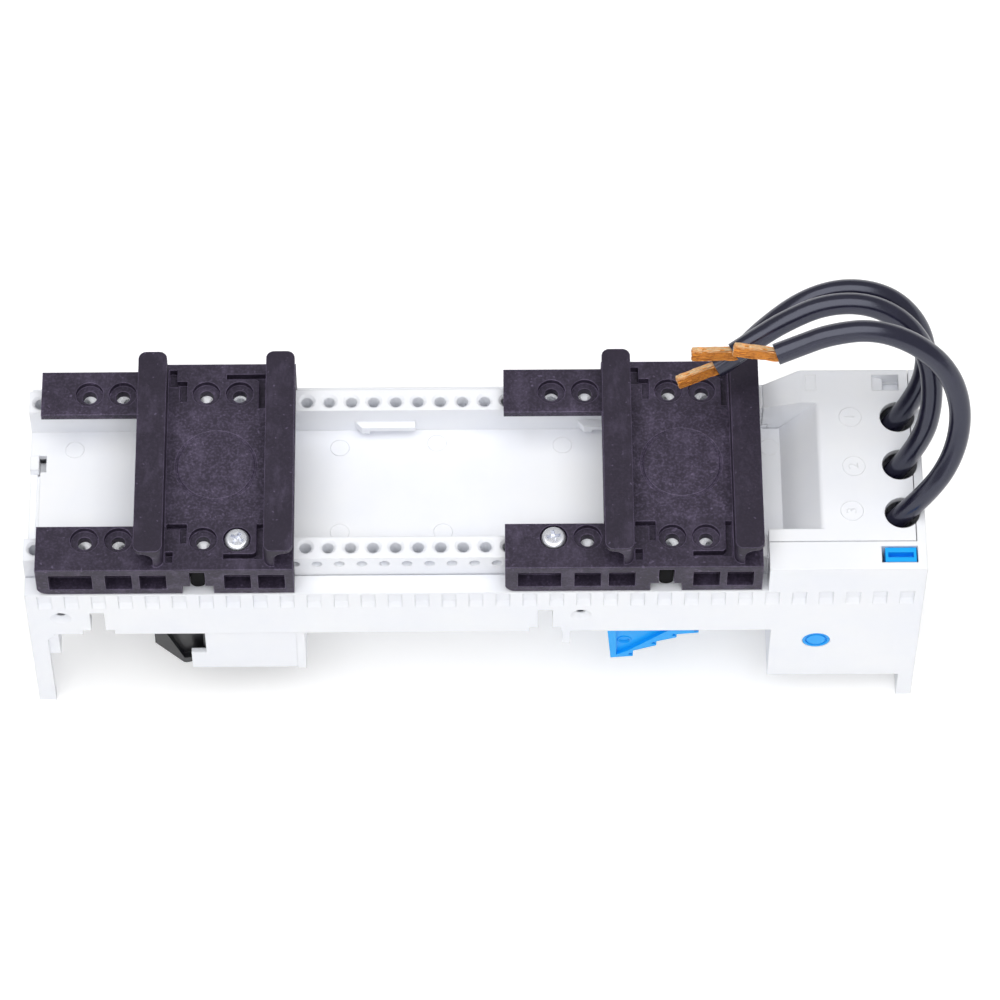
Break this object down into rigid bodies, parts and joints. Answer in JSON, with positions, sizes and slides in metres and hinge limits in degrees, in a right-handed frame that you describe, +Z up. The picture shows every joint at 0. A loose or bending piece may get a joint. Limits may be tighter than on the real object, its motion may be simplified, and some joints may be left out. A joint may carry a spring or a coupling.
{
  "type": "busbar adapter",
  "caption": "Long grey busbar adapter with black 35 mm rail carriers on a holed deck, a sprung latch, a blue locking lever and black wires with bare copper ends.",
  "frame": {"origin": "middle of the footprint, on the surface that the legs stand on", "axes": "+X along the housing to the terminal head, +Y from the front wall to the rear wall, +Z up"},
  "size_m": [0.209, 0.0546, 0.1052],
  "materials": {
    "housing_grey": "fine matt light grey moulding",
    "carrier_black": "fibre-filled black moulding, faintly mottled",
    "latch_black": "smooth black moulding",
    "release_blue": "smooth blue moulding",
    "zinc_steel": "zinc plated",
    "spring_steel": "drawn wire",
    "contact_metal": "tinned copper alloy",
    "wire_black": "smooth black insulation",
    "copper_strand": "bare compacted copper strands"
  },
  "bodies": {
    "housing": {"base_frame": "housing_grey", "deck_plate": "housing_grey", "terminal_cover": "housing_grey", "bottom_cover": "housing_grey", "rail_carrier_left": "carrier_black", "rail_carrier_right": "carrier_black", "carrier_screws": "zinc_steel", "latch_guide": "housing_grey", "lock_pin": "zinc_steel", "latch_spring": "spring_steel", "lock_spring": "spring_steel", "contact_spring_l1": "spring_steel", "contact_spring_l2": "spring_steel", "contact_spring_l3": "spring_steel", "wire_l1": "wire_black", "wire_l2": "wire_black", "wire_l3": "wire_black", "inner_wire_l1": "wire_black", "inner_wire_l2": "wire_black", "inner_wire_l3": "wire_black", "wire_end_l1": "copper_strand", "wire_end_l2": "copper_strand", "wire_end_l3": "copper_strand"},
    "latch": {"latch_slide": "latch_black"},
    "lever": {"lock_lever": "release_blue"},
    "rocker": {"release_rocker": "release_blue"},
    "release": {"release_slide": "release_blue"},
    "foot_l1": {"contact_l1": "contact_metal"},
    "foot_l2": {"contact_l2": "contact_metal"},
    "foot_l3": {"contact_l3": "contact_metal"}
  },
  "joints": [
    {"name": "latch_travel", "type": "slide", "parent": "housing", "child": "latch", "axis": [1, 0, 0], "range_m": [0, 0.0065], "stiffness_N_per_m": 250, "springref_m": -0.005, "deforming": ["latch_spring"]},
    {"name": "lever_swing", "type": "hinge", "parent": "housing", "child": "lever", "pos_m": [0.04, -0.0232, 0.0375], "axis": [0, 1, 0], "range_deg": [0, 12], "stiffness_Nm_per_rad": 0.015, "springref_deg": -11.46, "deforming": ["lock_spring"]},
    {"name": "rocker_swing", "type": "hinge", "parent": "housing", "child": "rocker", "pos_m": [0.07695, -0.0232, 0.0255], "axis": [0, -1, 0], "range_deg": [0, 11.35]},
    {"name": "release_travel", "type": "slide", "parent": "housing", "child": "release", "axis": [0, 0, 1], "range_m": [0, 0.003]},
    {"name": "foot_l1_travel", "type": "slide", "parent": "housing", "child": "foot_l1", "axis": [0, 0, 1], "range_m": [0, 0.0014], "stiffness_N_per_m": 1200, "springref_m": -0.002, "deforming": ["contact_spring_l1"]},
    {"name": "foot_l2_travel", "type": "slide", "parent": "housing", "child": "foot_l2", "axis": [0, 0, 1], "range_m": [0, 0.0014], "stiffness_N_per_m": 1200, "springref_m": -0.002, "deforming": ["contact_spring_l2"]},
    {"name": "foot_l3_travel", "type": "slide", "parent": "housing", "child": "foot_l3", "axis": [0, 0, 1], "range_m": [0, 0.0014], "stiffness_N_per_m": 1200, "springref_m": -0.002, "deforming": ["contact_spring_l3"]}
  ],
  "couplings": [
    {"joint": "rocker_swing", "follows": "release_travel", "rad_per_m": 65.73},
    {"joint": "lever_swing", "follows": "release_travel", "rad_per_m": 69.8}
  ]
}
